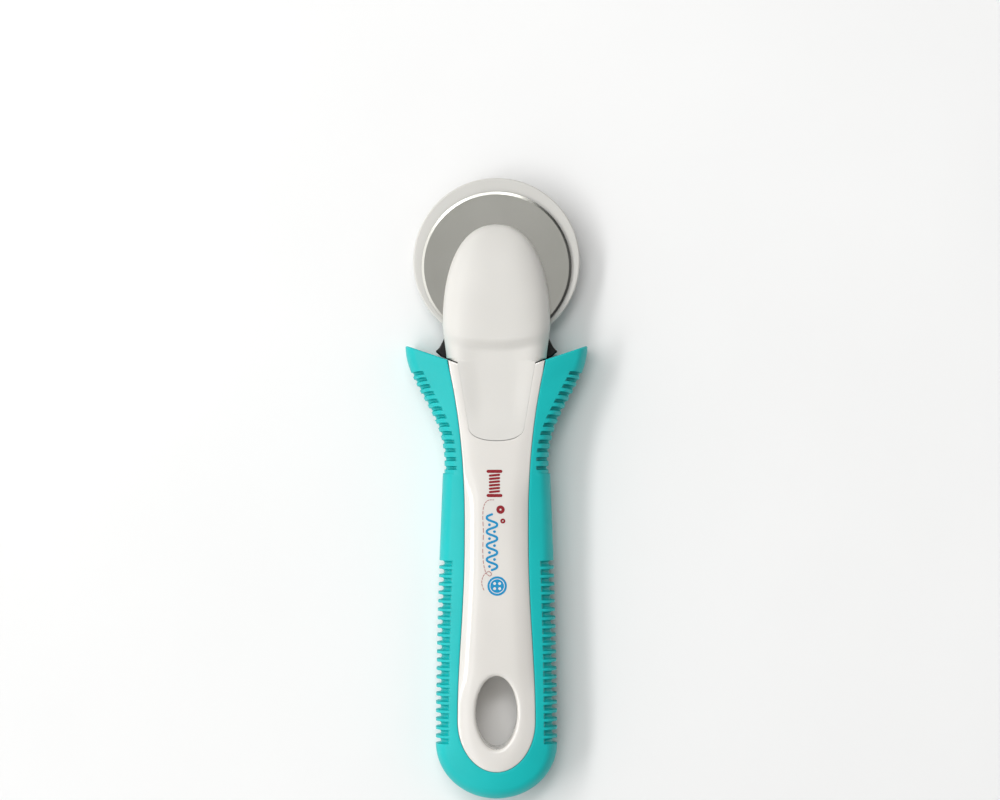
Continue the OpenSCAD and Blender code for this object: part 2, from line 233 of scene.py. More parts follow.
def add_object(name, verts_mm, faces, sharp=40, flat=False):
    """Mesh object from points in millimetres, merged and smooth, with sharp edges kept.
    With flat, the level faces are shaded flat up to their rounded edges."""
    mesh = bpy.data.meshes.new(name)
    mesh.from_pydata([tuple(MM * c for c in v) for v in verts_mm], [], faces)
    bm = bmesh.new()
    bm.from_mesh(mesh)
    bmesh.ops.remove_doubles(bm, verts=bm.verts, dist=2e-6)
    bmesh.ops.dissolve_degenerate(bm, dist=1e-6, edges=bm.edges)
    bmesh.ops.recalc_face_normals(bm, faces=bm.faces)
    for edge in bm.edges:
        level = {abs(f.normal.z) > 0.9999 for f in edge.link_faces}
        edge.smooth = edge.calc_face_angle(0) < radians(sharp) and not (flat and len(level) > 1)
    bm.to_mesh(mesh)
    bm.free()
    mesh.shade_smooth()
    obj = bpy.data.objects.new(name, mesh)
    bpy.context.scene.collection.objects.link(obj)
    return obj


def loft(loops, start=True, end=True, skip=()):
    """Points and faces of a skin over equal closed loops, with flat caps."""
    n = len(loops[0])
    verts = [p for loop in loops for p in loop]
    faces = []
    for k in range(len(loops) - 1):
        for i in range(n):
            if (k, i) not in skip:
                j = (i + 1) % n
                faces.append((k * n + i, k * n + j, (k + 1) * n + j, (k + 1) * n + i))
    if start:
        faces.append(tuple(range(n)))
    if end:
        faces.append(tuple((len(loops) - 1) * n + i for i in reversed(range(n))))
    return verts, faces


def revolve(profile, centre, steps):
    """Points and faces of a closed (radius, z) profile turned about a vertical line."""
    loops = []
    for k in range(steps + 1):
        a = 2 * pi * k / steps
        loops.append([(centre[0] + r * cos(a), centre[1] + r * sin(a), z) for r, z in profile])
    return loft(loops, start=False, end=False)


def place(obj, body, material, slot, *nodes):
    """Gives a piece its material and its body, and hides the CAD nodes that it stands for. slot
    is not used.
    """
    obj.data.materials.clear()
    obj.data.materials.append(material)
    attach(obj, body)
    if nodes:
        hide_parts(*nodes)


def circle(x, y, r, steps=48, start=0.0, turn=360.0):
    """Points of a circle, or of an arc that starts and turns by angles in degrees."""
    return [(x + r * cos(radians(start + turn * i / steps)),
             y + r * sin(radians(start + turn * i / steps)))
            for i in range(steps + (turn < 360))]


def oval(a, b, y, steps=72):
    """Points of an oval of half width a and half length b on the middle line."""
    return [(a * cos(2 * pi * i / steps), y + b * sin(2 * pi * i / steps)) for i in range(steps)]


def slot_outline(r, y0, y1):
    """Straight slot along Y with round ends."""
    return circle(0, y1, r, 18, 0, 180) + circle(0, y0, r, 18, 180, 180)


def rounded(points, cut):
    """Outline with its corners cut back by a share of each side, up to 0.6 mm."""
    new = []
    for p, q in zip(points, points[1:] + points[:1]):
        length = hypot(q[0] - p[0], q[1] - p[1])
        share = min(cut, 0.6 / length) if length else 0
        new += [tuple(mix(p[k], q[k], share) for k in (0, 1)),
                tuple(mix(p[k], q[k], 1 - share) for k in (0, 1))]
    return new


def both_sides(half):
    """Closed outline from its right half."""
    return half + [(-x, y) for x, y in reversed(half)]


def plate(name, outlines, z0, z1, r):
    """Flat piece from an outline and its holes, with every edge rounded by r."""
    curve = bpy.data.curves.new(name, "CURVE")
    curve.dimensions = "2D"
    curve.fill_mode = "BOTH"
    curve.extrude = ((z1 - z0) / 2 - r) * MM
    curve.bevel_depth = r * MM
    curve.bevel_resolution = 2
    curve.offset = -r * MM
    for points in outlines:
        spline = curve.splines.new("POLY")
        spline.points.add(len(points) - 1)
        for point, (x, y) in zip(spline.points, points):
            point.co = (x * MM, y * MM, 0, 1)
        spline.use_cyclic_u = True
    holder = bpy.data.objects.new(name, curve)
    bpy.context.scene.collection.objects.link(holder)
    shown = holder.evaluated_get(bpy.context.evaluated_depsgraph_get())
    mesh = bpy.data.meshes.new_from_object(shown)
    verts = [(v.co.x / MM, v.co.y / MM, v.co.z / MM + (z0 + z1) / 2) for v in mesh.vertices]
    faces = [tuple(f.vertices) for f in mesh.polygons]
    bpy.data.objects.remove(holder)
    return verts, faces


def joined(parts):
    """One list of points and faces from several."""
    verts, faces = [], []
    for part_verts, part_faces in parts:
        start = len(verts)
        verts += part_verts
        faces += [tuple(i + start for i in f) for f in part_faces]
    return verts, faces


# ---------------------------------------------------------------- materials

def principled(name, colour, roughness, **extra):
    """New node material; returns it with its node tree, shader and object coordinates."""
    material = bpy.data.materials.new(name)
    material.use_nodes = True
    tree = material.node_tree
    shader = tree.nodes["Principled BSDF"]
    shader.inputs["Base Color"].default_value = (*colour, 1)
    shader.inputs["Roughness"].default_value = roughness
    for socket, value in extra.items():
        shader.inputs[socket.replace("_", " ")].default_value = value
    coords = tree.nodes.new("ShaderNodeTexCoord")
    return material, tree, shader, coords.outputs["Object"]


def noise(tree, vector, scale, detail=3, stretch=None):
    """Noise texture on the object's own coordinates, scale in features per metre."""
    if stretch:
        mapping = tree.nodes.new("ShaderNodeMapping")
        mapping.inputs["Scale"].default_value = stretch
        tree.links.new(vector, mapping.inputs["Vector"])
        vector = mapping.outputs["Vector"]
    node = tree.nodes.new("ShaderNodeTexNoise")
    node.inputs["Scale"].default_value = scale
    node.inputs["Detail"].default_value = detail
    tree.links.new(vector, node.inputs["Vector"])
    return node.outputs["Fac"]


def ramp(tree, value, stops):
    """Colour ramp through (position, colour) stops."""
    node = tree.nodes.new("ShaderNodeValToRGB")
    while len(node.color_ramp.elements) < len(stops):
        node.color_ramp.elements.new(0.5)
    for element, (position, colour) in zip(node.color_ramp.elements, stops):
        element.position = position
        element.color = (*colour, 1)
    tree.links.new(value, node.inputs["Fac"])
    return node.outputs["Color"]


def tint(tree, shader, value, stops):
    """Colours the surface through a ramp."""
    tree.links.new(ramp(tree, value, stops), shader.inputs["Base Color"])


def polish(tree, shader, value, low, high):
    """Varies the surface's roughness from low to high."""
    node = tree.nodes.new("ShaderNodeMapRange")
    node.inputs["To Min"].default_value = low
    node.inputs["To Max"].default_value = high
    tree.links.new(value, node.inputs["Value"])
    tree.links.new(node.outputs["Result"], shader.inputs["Roughness"])


def bump(tree, shader, height, strength, distance_mm):
    """Fine relief from a height between 0 and 1."""
    node = tree.nodes.new("ShaderNodeBump")
    node.inputs["Strength"].default_value = strength
    node.inputs["Distance"].default_value = distance_mm * MM
    tree.links.new(height, node.inputs["Height"])
    tree.links.new(node.outputs["Normal"], shader.inputs["Normal"])


def scaled(colour, factor):
    """Colour made lighter or darker by a factor."""
    return [min(1, c * factor) for c in colour]


def gloss_plastic(name, colour, roughness, coat, specular=0.5):
    """Moulded plastic: faint colour drift, flow waviness and fine moulding texture."""
    material, tree, shader, where = principled(
        name, colour, roughness, Specular_IOR_Level=specular, Coat_Weight=coat,
        Coat_Roughness=0.08, Subsurface_Weight=0.08,
        Subsurface_Radius=(0.004, 0.0035, 0.003), Subsurface_Scale=0.3)
    tint(tree, shader, noise(tree, where, 38, 2),
         [(0.3, scaled(colour, 0.965)), (0.7, scaled(colour, 1.02))])
    polish(tree, shader, noise(tree, where, 1700, 4), roughness * 0.85, roughness * 1.2)
    bump(tree, shader, noise(tree, where, 260, 3), 0.05, 0.12)
    return material


def soft_touch(name, colour):
    """Elastomer: satin, with a fine spark-eroded grain."""
    material, tree, shader, where = principled(
        name, colour, 0.48, Specular_IOR_Level=0.32, Subsurface_Weight=0.05,
        Subsurface_Radius=(0.001, 0.003, 0.003), Subsurface_Scale=0.2)
    tint(tree, shader, noise(tree, where, 55, 3),
         [(0.25, scaled(colour, 0.93)), (0.75, scaled(colour, 1.05))])
    polish(tree, shader, noise(tree, where, 900, 4), 0.4, 0.56)
    bump(tree, shader, noise(tree, where, 5200, 2), 0.16, 0.05)
    return material


def matte_plastic(name, colour, roughness=0.45):
    """Moulded nylon with a fine texture and slight wear sheen."""
    material, tree, shader, where = principled(name, colour, roughness,
                                               Specular_IOR_Level=0.25)
    tint(tree, shader, noise(tree, where, 150, 4),
         [(0.35, colour), (0.8, scaled(colour, 1.35))])
    polish(tree, shader, noise(tree, where, 700, 4), roughness * 0.8, roughness * 1.25)
    bump(tree, shader, noise(tree, where, 3800, 2), 0.2, 0.04)
    return material


def brushed_metal(name, colour, roughness, scale, stretch):
    """Metal with fine scratches along one direction."""
    material, tree, shader, where = principled(name, colour, roughness, Metallic=1.0)
    lines = noise(tree, where, scale, 4, stretch)
    tint(tree, shader, lines, [(0.3, scaled(colour, 0.9)), (0.7, scaled(colour, 1.06))])
    polish(tree, shader, lines, roughness * 0.75, roughness * 1.3)
    bump(tree, shader, lines, 0.05, 0.02)
    return material


WHITE_SHELL = gloss_plastic("white_shell_plastic", (0.73, 0.705, 0.665), 0.2, 0.8)
WHITE_COVER = gloss_plastic("white_cover_plastic", (0.665, 0.65, 0.615), 0.42, 0.0, 0.3)
GUARD_PLASTIC = gloss_plastic("milky_guard_plastic", (0.6, 0.59, 0.558), 0.36, 0.0, 0.3)
TURQUOISE = soft_touch("turquoise_soft_touch", (0.003, 0.475, 0.47))
BLACK = matte_plastic("black_nylon", (0.012, 0.011, 0.01))
NYLON = matte_plastic("natural_nylon", (0.6, 0.59, 0.55), 0.5)
ZINC = brushed_metal("zinc_plated_steel", (0.62, 0.62, 0.63), 0.3, 900, (1, 1, 0.2))
SPRING = brushed_metal("spring_steel", (0.42, 0.42, 0.43), 0.32, 900, (0.2, 1, 1))

BLADE_STEEL, BLADE_STEEL_LIGHT = (0.487, 0.482, 0.443), (0.528, 0.522, 0.484)


def blade_material(name, grind):
    """Polished blade steel with circular grinding lines; grind is how strongly they show."""
    material, tree, shader, where = principled(name, BLADE_STEEL, 0.2, Metallic=1.0)
    offset = tree.nodes.new("ShaderNodeMapping")
    offset.inputs["Location"].default_value = (0, -HUB_Y * MM, 0)
    tree.links.new(where, offset.inputs["Vector"])
    radius = tree.nodes.new("ShaderNodeVectorMath")
    radius.operation = "LENGTH"
    tree.links.new(offset.outputs["Vector"], radius.inputs[0])
    rings = tree.nodes.new("ShaderNodeTexNoise")
    rings.noise_dimensions = "1D"
    rings.inputs["Scale"].default_value = 4500
    rings.inputs["Detail"].default_value = 3
    tree.links.new(radius.outputs["Value"], rings.inputs["W"])
    tint(tree, shader, noise(tree, where, 60, 3),
         [(0.3, BLADE_STEEL), (0.7, BLADE_STEEL_LIGHT)])
    polish(tree, shader, rings.outputs["Fac"], 0.17 - 0.06 * grind, 0.21)
    bump(tree, shader, rings.outputs["Fac"], 0.03 + 0.1 * grind, 0.01)
    return material


BLADE_FACE = blade_material("blade_polished", 0.2)
BLADE_RIM = blade_material("blade_ground_rim", 0.8)


# ---------------------------------------------------------------- camera, floor and light

# The camera looks straight down on the view's middle. VIEW_WIDTH is what it sees at VIEW_Z.
VIEW_X, VIEW_Y, VIEW_WIDTH, VIEW_Z = 1.05, HUB_Y - 40, 300, 10
CAMERA_Z = 1400
SENSOR = 36

camera = bpy.data.objects.new("camera", bpy.data.cameras.new("camera"))
camera.data.sensor_width = SENSOR
camera.data.lens = SENSOR * (CAMERA_Z - VIEW_Z) / VIEW_WIDTH
camera.data.clip_end = 20
camera.location = (VIEW_X * MM, VIEW_Y * MM, CAMERA_Z * MM)
bpy.context.scene.collection.objects.link(camera)
bpy.context.scene.camera = camera
bpy.context.scene.view_settings.view_transform = "Standard"

floor_material, floor_tree, floor_shader, floor_where = principled(
    "pale_paper", (0.86, 0.86, 0.855), 0.7)
tint(floor_tree, floor_shader, noise(floor_tree, floor_where, 9, 4),
     [(0.3, (0.85, 0.85, 0.845)), (0.7, (0.875, 0.875, 0.87))])
bump(floor_tree, floor_shader, noise(floor_tree, floor_where, 900, 4), 0.08, 0.1)
bpy.ops.mesh.primitive_plane_add(size=6, location=(0, 0, 0))
floor = bpy.context.object
floor.name = "floor"
floor.data.materials.append(floor_material)


def area_light(name, place_m, size_m, power):
    """Soft light of so many watts, aimed at the middle of the cutter."""
    light = bpy.data.objects.new(name, bpy.data.lights.new(name, "AREA"))
    light.data.shape = "RECTANGLE"
    light.data.size, light.data.size_y = size_m
    light.data.energy = power
    light.location = place_m
    light.rotation_euler = (-light.location).to_track_quat("-Z", "Y").to_euler()
    bpy.context.scene.collection.objects.link(light)


area_light("key_left", (-0.72, 0.1, 0.82), (1.3, 0.17), 5.6)
area_light("key_top", (-0.1, 0.44, 1.2), (0.5, 0.2), 3.4)
area_light("fill_right", (0.95, 0.3, 0.85), (0.6, 0.9), 0.9)

# The studio's brightness overhead, from left to right: a bright panel on the left, an even
# grey in the middle and a dark stretch on the right. It gives the glossy parts their shading.
PANEL, MIDDLE_LEFT, MIDDLE_RIGHT, DARK = 0.95, 0.27, 0.255, 0.02
SKY_STOPS = [
    (0.0, (0.42, 0.42, 0.42)), (0.04, (PANEL, PANEL, PANEL)), (0.12, (PANEL, PANEL, PANEL)),
    (0.19, (0.4, 0.4, 0.4)), (0.36, (MIDDLE_LEFT, MIDDLE_LEFT, 0.266)),
    (0.62, (MIDDLE_RIGHT, MIDDLE_RIGHT, 0.25)), (0.75, (DARK, DARK, DARK)),
    (0.92, (DARK, DARK, DARK)), (1.0, (0.16, 0.16, 0.16))]
SKY_REACH = 0.45        # how far to each side the ramp runs, of a direction's X
SKY_STRENGTH = 2.0

world = bpy.data.worlds.new("studio")
bpy.context.scene.world = world
world.use_nodes = True
sky = world.node_tree
direction = sky.nodes.new("ShaderNodeTexCoord").outputs["Generated"]
axes = sky.nodes.new("ShaderNodeSeparateXYZ")
sky.links.new(direction, axes.inputs["Vector"])
across = sky.nodes.new("ShaderNodeMapRange")
across.inputs["From Min"].default_value = -SKY_REACH
across.inputs["From Max"].default_value = SKY_REACH
sky.links.new(axes.outputs["X"], across.inputs["Value"])
sky.links.new(ramp(sky, across.outputs["Result"], SKY_STOPS),
              sky.nodes["Background"].inputs["Color"])
sky.nodes["Background"].inputs["Strength"].default_value = SKY_STRENGTH


# ---------------------------------------------------------------- soft grip

END_R = 0.5             # rounding of the wings' mouth edge
EDGE_W = 3.2            # width of the rounding along the outer edges
EDGE_H = 4.4            # its height
EDGE_STEPS = 10
BEND = 0.45             # how far a section's line runs square to the outer edge
SEAM_STEP = 0.05        # how far the grip's face starts below the spine's edge
FACE_SLOPE, FACE_CURVE = 0.18, 1.0  # fall of the face from the seam to the outer edge
TAIL_LIFT = 0.8         # how much the underside rises towards the tail
BULGE = 0.12            # of the flank
# (depth in from the side, depth down from the face, how far in the groove reaches)
REAR_GROOVE = (1.5, 1.9, 4.0)
FRONT_GROOVE = (0.5, 2.7, 3.7)


class Station:
    """Line of one section of the grip, seen from above: a curve from the outer edge, which it
    leaves square, to the seam with the spine. cut is how deep it lies in a groove, solid
    closes the hollow for the core, and inset draws the section in for a rounded end."""

    def __init__(self, seam, edge, outward, bend=BEND, cut=0.0, groove=REAR_GROOVE,
                 solid=False, inset=0.0):
        self.cut, self.groove, self.solid, self.inset = cut, groove, solid, inset
        seam, edge, outward = (np.array(v, float) for v in (seam, edge, outward))
        reach = np.linalg.norm(edge - seam)
        middle = edge - outward / np.linalg.norm(outward) * reach * bend
        if bend == 0:
            middle = (edge + seam) / 2
        t = np.linspace(0, 1, 24)[:, None]
        path = edge * (1 - t) ** 2 + 2 * middle * t * (1 - t) + seam * t ** 2
        steps = np.linalg.norm(np.diff(path, axis=0), axis=1)
        self.along = np.concatenate([[0], np.cumsum(steps)])
        self.path = path
        self.length = self.along[-1]

    def point(self, q):
        """Point at distance q in from the edge; a negative q lies outside it."""
        if q < 0:
            ahead = self.path[0] - self.path[1]
            return list(self.path[0] + ahead / np.linalg.norm(ahead) * -q)
        return [np.interp(q, self.along, self.path[:, k]) for k in (0, 1)]


def section(st, y):
    """Closed loop of (distance in from the edge, height) for one section: the face from the
    seam outward, the rounded edge, the flank, the underside, and the hollow for the core."""
    top = seam_z(y) - SEAM_STEP - st.inset
    low = grip_low[2] + st.inset + TAIL_LIFT * smooth((-45 - y) / 45)
    length = st.length

    def face(q):
        """Height of the front face at distance q from the edge."""
        away = length - q
        return top - FACE_SLOPE * away - FACE_CURVE * (away / max(length, 5)) ** 2

    # Columns close together between the level face and the rounding
    near_edge = [4.6, 4.25, 3.95, 3.7, 3.5, 3.35]
    columns = [mix(length - 0.7, near_edge[0], i / 5) for i in range(5)] + near_edge
    quarter = [pi / 2 * i / EDGE_STEPS for i in range(EDGE_STEPS + 1)]
    loop = [(length, top - 1.1), (length, top - 0.25), (length - 0.07, top - 0.08),
            (length - 0.22, face(length - 0.22) - 0.01)]
    loop += [(q, face(q)) for q in columns]
    for a in quarter:
        q = EDGE_W * (1 - sin(a))
        loop.append((q, face(q) - EDGE_H * (1 - cos(a))))
    flank_top, flank_low = face(0) - EDGE_H, low + EDGE_H
    loop += [(-BULGE * sin(pi * i / 6), mix(flank_top, flank_low, i / 6)) for i in range(1, 6)]
    loop += [(EDGE_W * (1 - cos(a)), flank_low - EDGE_H * sin(a)) for a in quarter]
    loop += [(q, low) for q in reversed(near_edge)]
    back = max(length - 1.0, near_edge[0] + 0.1)
    loop += [(mix(near_edge[0], back, 0.5), low), (back - 0.15, low), (back, low + 0.3)]
    grooved = []
    side, down, reach = st.groove
    for q, z in loop:
        q += st.inset * clamp(1 - q / 3)
        if st.cut > 0 and q < reach:
            fade = smooth((reach - q) / 0.7)
            upper = clamp((z - flank_top) / EDGE_H)
            lower = clamp((flank_low - z) / EDGE_H)
            z += st.cut * down * fade * (lower - upper)
            q += st.cut * side * (1 - max(q, 0) / reach)
        grooved.append((q, z))
    ceiling = face(EDGE_W) - 3.5
    inner = [(back, low + 1.6), (SKIN, low + 3.5), (SKIN, 9), (SKIN, ceiling),
             (length, ceiling)]
    if st.solid:
        inner = [(back, low + 1.6), (length, 5), (length, 9), (length, 12), (length, top - 2.6)]
    return grooved + inner


def groove_profile(centre, half):
    """Places across a groove with how deep it is there, round at the foot."""
    return [(centre + half * v, (1 - abs(v) ** 3) ** 0.55)
            for v in (-1, -0.98, -0.9, -0.72, -0.4, 0, 0.4, 0.72, 0.9, 0.98, 1)]


def grip_stations():
    """Sections of the right side, from the tail's end up to the wing's mouth edge."""
    made = []
    spine_b = SPINE_ARC_Y - SPINE_END_Y
    start = np.arcsin((SPINE_ARC_Y - TAIL_ARC_Y) / spine_b)
    tail_steps = 40
    for i in range(tail_steps + 1):
        a = pi / 2 * (1 - i / tail_steps)
        b = mix(start, pi / 2, 1 - i / tail_steps)
        seam = ((SPINE_TAIL_W + SEAM) * cos(b), SPINE_ARC_Y - (spine_b + SEAM) * sin(b))
        edge = (TAIL_W * cos(a), TAIL_ARC_Y - TAIL_LEN * sin(a))
        made.append(Station(seam, edge, (cos(a) / TAIL_W, -sin(a) / TAIL_LEN)))
    rows = []
    for i in reversed(range(REAR_RIBS)):
        rows += groove_profile(REAR_FIRST_Y - i * REAR_PITCH, REAR_HALF)
    last = rows[-1][0]
    rows += [(mix(last, STEP_Y, t), 0.0) for t in (0.03, 0.2, 0.4, 0.6, 0.8, 0.95, 0.999)]
    rows += [(STEP_Y + 0.02, 0.0)]
    for i in range(FRONT_RIBS):
        t = i / (FRONT_RIBS - 1)
        centre = mix(FRONT_FIRST_Y, FRONT_LAST_Y, t * (1 + RIB_BUNCHING * (1 - t)))
        rows += groove_profile(centre, FRONT_HALF)
    last = rows[-1][0]
    rows += [(mix(last, WING_Y - END_R, t), 0.0) for t in (0.05, 0.25, 0.45, 0.65, 0.85, 1)]
    rise = WING_Y - MOUTH_Y     # how much further forward the wing's tip is than its root
    for y, cut in rows:
        t = clamp((y - WAIST_Y) / (WING_Y - END_R - WAIST_Y))
        seam_y = y - rise * smooth(t) * t
        slope = (grip_w(y + 0.1) - grip_w(y - 0.1)) / 0.2 if y > STEP_Y + 0.2 else 0.0
        seam = (min(spine_w(seam_y) + SEAM, MOUTH_W - 0.05), seam_y)
        bend = BEND * (1 - smooth((t - 0.75) / 0.25))
        groove = REAR_GROOVE if y < STEP_Y else FRONT_GROOVE
        made.append(Station(seam, (grip_w(y), y), (1, -slope), bend, cut, groove))
    seam, edge = made[-1].path[-1], made[-1].path[0]
    across = (edge - seam) / np.linalg.norm(edge - seam)
    forward = np.array([-across[1], across[0]])
    for i in range(6):
        a = pi / 2 * i / 5
        shift = forward * (0.01 + END_R * sin(a))
        made.append(Station(seam + shift, edge + shift, across, 0, solid=True,
                            inset=END_R * (1 - cos(a))))
    return made


def grip_loops():
    """Sections from the left wing round the tail to the right wing."""
    right = []
    for st in grip_stations():
        mid_y = (st.path[0][1] + st.path[-1][1]) / 2
        right.append([(*st.point(q), z) for q, z in section(st, mid_y)])
    left = [[(-x, y, z) for x, y, z in loop] for loop in right[1:]]
    return left[::-1] + right


grip = add_object("soft_grip_skin", *loft(grip_loops()))
place(grip, "handle", TURQUOISE, "turquoise_grip", "soft_grip")


# ---------------------------------------------------------------- white spine

RECESS_END_Y = TONGUE_END_Y - TONGUE_GAP
RECESS_Z = 15.8         # floor of the tongue's recess
HOLE_R = 1.1            # rounding of the hang hole's edge
SPINE_EDGE_R = 0.3      # rounding of the spine's outer and front edges
SKIRT_Z = 15.4          # foot of the crown, where the spine's side goes straight down
EAR = 1.2               # how much further forward the spine reaches beside the neck
SPINE_LOW_Z = 13.6      # underside of the spine ahead of the block round the hang hole
BLOCK_END_Y = HOLE_Y + HOLE_B + 1.8


def half_opening(y):
    """Half width of the opening in the spine at y and its kind."""
    if abs(y - HOLE_Y) <= HOLE_B + 1e-6:
        t = (y - HOLE_Y) / HOLE_B
        return HOLE_A * max(0.0, 1 - t * t) ** 0.5, "hole"
    if y >= RECESS_END_Y:
        return tongue_w(y, TONGUE_GAP, TONGUE_SIDE_GAP), "recess"
    return 0.0, "plain"


NEAR_EDGE = [0, 0.04, 0.12, 0.25, 0.42, 0.65, 0.95, 1.4]


def spine_columns(inner, outer):
    """Places across one half of the spine, close together near both edges."""
    room = outer - inner
    squeeze = min(1.0, room / (2.6 * NEAR_EDGE[-1]))
    near = [inner + d * squeeze for d in NEAR_EDGE]
    far = [outer - d * squeeze for d in reversed(NEAR_EDGE)]
    middle = [mix(near[-1], far[0], i / 7) for i in range(1, 7)]
    return near + middle + far


def spine_rows():
    """Places along the spine, close together where its edges curve."""
    near_hole = (1.1, 0.8, 0.55, 0.35, 0.2, 0.1, 0.03)
    hole_low, hole_high = HOLE_Y - HOLE_B, HOLE_Y + HOLE_B
    ys = [SPINE_END_Y + (SPINE_ARC_Y - SPINE_END_Y) * (1 - cos(pi / 2 * i / 26))
          for i in range(27)]
    ys = [y for y in ys if y < hole_low - 1.3]
    ys += [hole_low - d for d in near_hole]
    ys += [HOLE_Y - HOLE_B * cos(pi * i / 64) for i in range(65)]
    ys += [hole_high + d for d in reversed(near_hole)]
    ys += [mix(hole_high + 2, RECESS_END_Y - 1.2, i / 60) for i in range(61)]
    ys += [RECESS_END_Y - 0.6, RECESS_END_Y - 0.2, RECESS_END_Y - 0.02, RECESS_END_Y + 1e-4]
    ys += [RECESS_END_Y + (TONGUE_TIP_LEN + TONGUE_GAP) * (1 - cos(pi / 2 * i / 20))
           for i in range(1, 21)]
    ys += [mix(RECESS_END_Y + 5, SPINE_FRONT_Y - 0.6, i / 24) for i in range(25)]
    return ys + [SPINE_FRONT_Y - 0.3, SPINE_FRONT_Y - 0.1, SPINE_FRONT_Y]


def spine_loops():
    """Half loops of the front shell's slab, and which rows belong to the hole."""
    loops, in_hole = [], []
    for y in spine_rows():
        inner, kind = half_opening(y)
        outer = max(spine_w(y), inner, 1e-4)
        low = SPLIT_Z if y < BLOCK_END_Y else SPINE_LOW_Z
        loop = []
        for x in spine_columns(inner, outer):
            z = spine_z(x, y) - round_off(spine_edge_gap(x, y), SPINE_EDGE_R)
            z -= round_off(oval_gap(x, y - HOLE_Y, HOLE_A, HOLE_B), HOLE_R)
            if kind == "recess":
                z -= round_off(x - inner, tongue_edge_r(y))
            z -= round_off(SPINE_FRONT_Y - y, SPINE_EDGE_R)
            lift = clamp((x - TONGUE_W) / (MOUTH_W - TONGUE_W)) * EAR
            loop.append((x, y + lift * smooth((y - SPINE_FRONT_Y + 3) / 3), z))
        first = loop[0]
        if kind == "recess":
            wall, centre = (first[0], y, RECESS_Z), (0, y, RECESS_Z)
        elif kind == "hole" and inner > 1e-3:
            wall = centre = (first[0], y, mix(first[2], low, 0.4))
        else:
            wall = centre = first
        foot = [(outer, y, SKIRT_Z), (outer, y, low), (centre[0], y, low)]
        loops.append([centre, wall] + loop + foot)
        in_hole.append(kind == "hole")
    return loops, in_hole


def mirrored_solid(name, loops, in_hole):
    """Both halves of a slab, open to each other except round the hole."""
    n = len(loops[0])
    skip = {(k, n - 1) for k in range(len(loops) - 1)
            if not (in_hole[k] and in_hole[k + 1])}
    right_v, right_f = loft(loops, start=False, skip=skip)
    left_v = [(-x, y, z) for x, y, z in right_v]
    offset = len(right_v)
    left_f = [tuple(i + offset for i in reversed(f)) for f in right_f]
    return add_object(name, right_v + left_v, right_f + left_f)


front = mirrored_solid("front_shell_spine", *spine_loops())
place(front, "handle", WHITE_SHELL, "white_shell", "front_shell")


# ---------------------------------------------------------------- head cover

def dome_w(y):
    """Half width of the cover at y, from the tongue's tip to the dome's front."""
    if y >= DOME_Y:
        t = clamp((y - DOME_Y) / DOME_LEN)
        return DOME_W * max(0.0, 1 - t ** DOME_CURL) ** (1 / DOME_CURL)
    if y >= NECK_Y1:
        t = (DOME_Y - y) / (DOME_Y - NECK_Y1)
        return mix(DOME_W, NECK_W, smooth(t) * 0.35 + 0.65 * t)
    if y >= NECK_Y0:
        return mix(TONGUE_W, NECK_W, (y - NECK_Y0) / (NECK_Y1 - NECK_Y0))
    return tongue_w(y, 0, -TONGUE_SIDE_GAP)


def dome_mid_z(y):
    """Height of the dome's middle line."""
    t = clamp((y - DOME_Y) / DOME_LEN)
    front = DOME_LOW + (DOME_TOP - DOME_LOW) * max(0.0, 1 - t ** 2.6) ** (1 / 2.3)
    return front - 0.2 * clamp((DOME_Y + 4 - y) / 12) ** 2


TONGUE_SINK = 0.04      # how far the tongue lies below the spine
NECK_LOW = 12.5         # height of the neck's lower edge
TONGUE_LOW = RECESS_Z + 0.1     # underside of the tongue
DOME_RIM = 10.6         # underside of the dome's wall
COVER_WALL = 1.7
STEP_START, STEP_CURVE, STEP_LEN = 2.2, 2.6, 4.0    # rise from the neck to the dome


def cover_z(x, y, w):
    """Height of the cover's face: the tongue's, the neck's and the dome's, blended."""
    flat = spine_z(min(abs(x), spine_w(min(y, MOUTH_Y)) - 0.3), min(y, SPINE_FRONT_Y))
    flat -= TONGUE_SINK
    if y < NECK_Y0:
        return flat - round_off(w - abs(x), tongue_edge_r(y))
    side = clamp(abs(x) / w)
    neck = flat - (flat - NECK_LOW) * (1 - (1 - side ** 7) ** (1 / 2.2))
    fullness = mix(5.0, 3.4, smooth((y - MOUTH_Y - 5) / 24))
    dome = DOME_LOW + (dome_mid_z(y) - DOME_LOW) * (1 - side ** fullness) ** (1 / 2.4)
    step_y = MOUTH_Y + STEP_START + STEP_CURVE * side ** 2
    neck_in = smooth((y - NECK_Y0) / 1.2)
    return mix(mix(flat, neck, neck_in), dome, smooth((y - step_y) / STEP_LEN))


def cover_rows():
    """Places along the cover, close together at the tongue's tip and the dome's front."""
    ys = [TONGUE_END_Y + TONGUE_TIP_LEN * (1 - cos(pi / 2 * i / 18)) for i in range(19)]
    ys += [mix(TONGUE_END_Y + TONGUE_TIP_LEN, NECK_Y0 - 0.05, i / 22) for i in range(1, 23)]
    ys += [mix(NECK_Y0, NECK_Y1, i / 4) for i in range(5)]
    ys += [mix(NECK_Y1, DOME_Y, i / 30) for i in range(1, 31)]
    ys += [DOME_Y + DOME_LEN * sin(pi / 2 * i / 56) for i in range(1, 57)]
    return ys


def cover_under(y, w):
    """Half width and height of the cover's hollow, and the height of its rim."""
    if y < MOUTH_Y + 0.1:
        return 0.3 * w, TONGUE_LOW, TONGUE_LOW
    if y < MOUTH_Y + 5.1:
        return w - COVER_WALL - 0.1, 13.9, 9.7
    under = cover_z(0, y, w) - COVER_WALL
    return max(w - COVER_WALL, 0.02), max(under, DOME_RIM + 0.02), DOME_RIM


